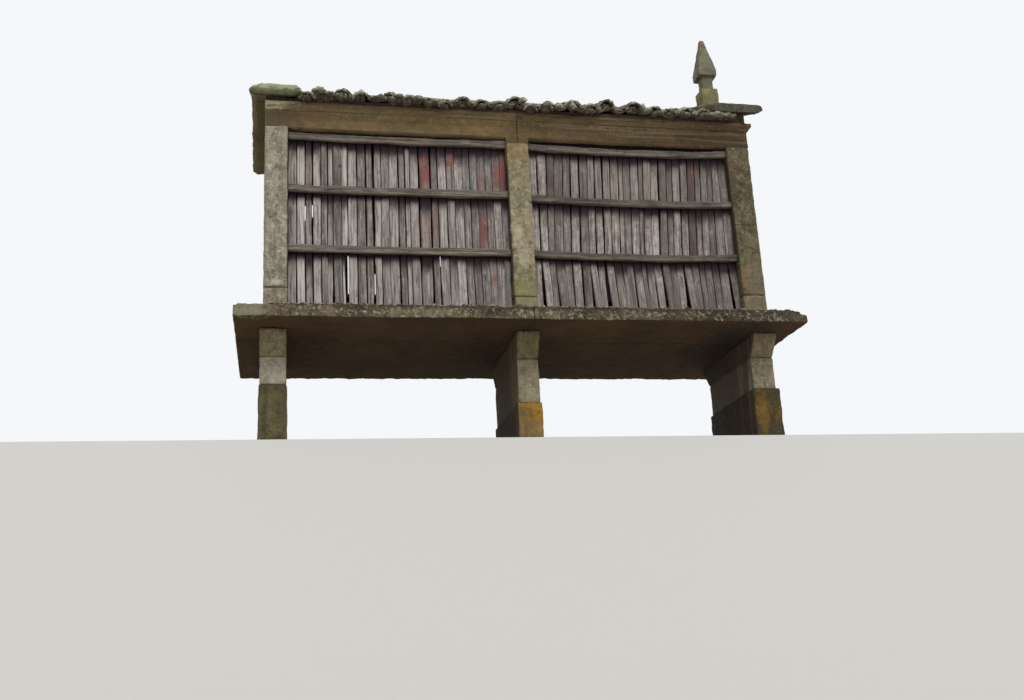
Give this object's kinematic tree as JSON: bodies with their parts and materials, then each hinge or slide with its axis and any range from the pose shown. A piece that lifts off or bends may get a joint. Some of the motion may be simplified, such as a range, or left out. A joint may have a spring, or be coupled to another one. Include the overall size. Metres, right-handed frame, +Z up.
{
  "type": "raised granary",
  "caption": "Long narrow granary with slatted timber walls in a granite frame under a tiled roof, raised on stone piers and an overhanging platform.",
  "frame": {"origin": "on the ground, under the middle of the platform", "axes": "+X along the building to the end with the pinnacle, +Y from the front wall to the back wall, +Z up"},
  "size_m": [5.52, 2.119, 4.814],
  "materials": {
    "granite": "rough, lichened",
    "platform_granite": "rough, mossy",
    "wall_slats": "weathered",
    "wall_rails": "weathered",
    "door_boards": "weathered",
    "roof_boards": "dark, rough",
    "roof_tiles": "matt, mossy"
  },
  "bodies": {
    "root": {"left_pier_base": "granite", "left_pier_shaft": "granite", "left_pier_cap": "granite", "middle_pier_base": "granite", "middle_pier_shaft": "granite", "middle_pier_cap": "granite", "right_pier_base": "granite", "right_pier_shaft": "granite", "right_pier_cap": "granite", "front_left_post": "granite", "front_middle_post": "granite", "front_right_post": "granite", "back_left_post": "granite", "back_middle_post": "granite", "back_right_post": "granite", "front_post_bases": "granite", "back_post_bases": "granite", "front_left_lintel": "granite", "front_right_lintel": "granite", "back_left_lintel": "granite", "back_right_lintel": "granite", "left_end_lintel": "granite", "right_end_lintel": "granite", "left_gable": "granite", "right_gable": "granite", "left_verge_slabs": "granite", "right_verge_slabs": "granite", "pinnacle_base": "granite", "pinnacle": "granite", "front_left_slab": "platform_granite", "front_right_slab": "platform_granite", "back_left_slab": "platform_granite", "back_right_slab": "platform_granite", "front_left_slats": "wall_slats", "front_right_slats": "wall_slats", "back_left_slats": "wall_slats", "back_right_slats": "wall_slats", "left_end_slats": "wall_slats", "right_end_slats": "wall_slats", "front_rails": "wall_rails", "back_rails": "wall_rails", "right_end_rails": "wall_rails", "door_frame": "wall_rails", "granary_door": "door_boards", "front_roof_boards": "roof_boards", "back_roof_boards": "roof_boards", "ridge_beam": "roof_boards", "front_roof_tiles": "roof_tiles", "back_roof_tiles": "roof_tiles", "ridge_tiles": "roof_tiles"}
  },
  "joints": []
}
